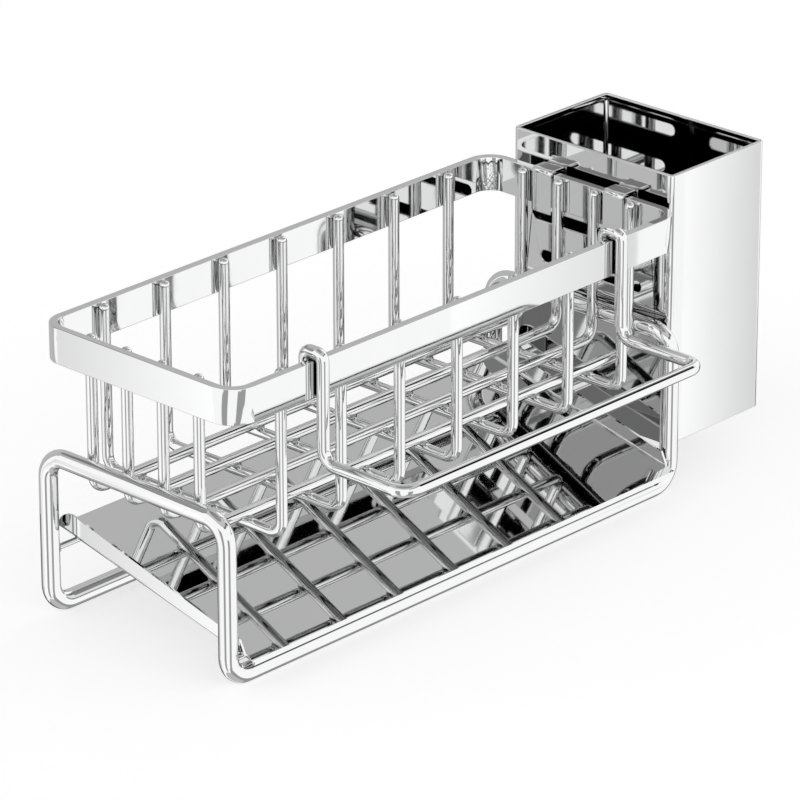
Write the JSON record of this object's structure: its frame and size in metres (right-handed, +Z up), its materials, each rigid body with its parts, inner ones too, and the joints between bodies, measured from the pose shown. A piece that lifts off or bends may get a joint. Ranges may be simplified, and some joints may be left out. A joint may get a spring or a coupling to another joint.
{
  "type": "sink sponge holder",
  "caption": "Sponge holder of polished wire: a basket in a bent-rod stand, a sloping drip tray, a hook-on towel rail and a hook-on brush box.",
  "frame": {"origin": "centre of the base frame's footprint, on the counter that its bottom rods stand on", "axes": "+Z up, +X along the basket towards the end that carries the brush box, -Y towards the front, where the towel rail hangs and the tray pulls out"},
  "size_m": [0.3214, 0.1528, 0.134],
  "materials": {
    "frame_rod": "mirror-polished stainless steel",
    "thin_bar": "mirror-polished stainless steel",
    "flat_band": "mirror-polished stainless steel",
    "basket_wire": "mirror-polished stainless steel",
    "tray_sheet": "mirror-polished stainless steel",
    "rail_rod": "mirror-polished stainless steel",
    "box_sheet": "mirror-polished stainless steel",
    "strap": "mirror-polished stainless steel"
  },
  "bodies": {
    "stand": {"base_frame": "frame_rod", "front_tray_bar": "thin_bar", "rear_tray_bar": "thin_bar", "basket_band": "flat_band", "cross_wire_1": "basket_wire", "cross_wire_2": "basket_wire", "cross_wire_3": "basket_wire", "cross_wire_4": "basket_wire", "cross_wire_5": "basket_wire", "cross_wire_6": "basket_wire", "cross_wire_7": "basket_wire", "long_wire_1": "basket_wire", "long_wire_2": "basket_wire", "long_wire_3": "basket_wire", "long_wire_4": "basket_wire"},
    "tray": {"drip_tray": "tray_sheet"},
    "towel_rail": {"towel_rail": "rail_rod"},
    "brush_box": {"brush_box": "box_sheet", "brush_box_base": "box_sheet", "front_hook_strap": "strap", "rear_hook_strap": "strap"}
  },
  "joints": [
    {"name": "tray_pull", "type": "slide", "parent": "stand", "child": "tray", "axis": [0, -1, 0], "range_m": [0, 0.095]},
    {"name": "rail_lift", "type": "slide", "parent": "stand", "child": "towel_rail", "axis": [0, 0, 1], "range_m": [0, 0.018]},
    {"name": "box_lift", "type": "slide", "parent": "stand", "child": "brush_box", "axis": [0, 0, 1], "range_m": [0, 0.024]}
  ]
}
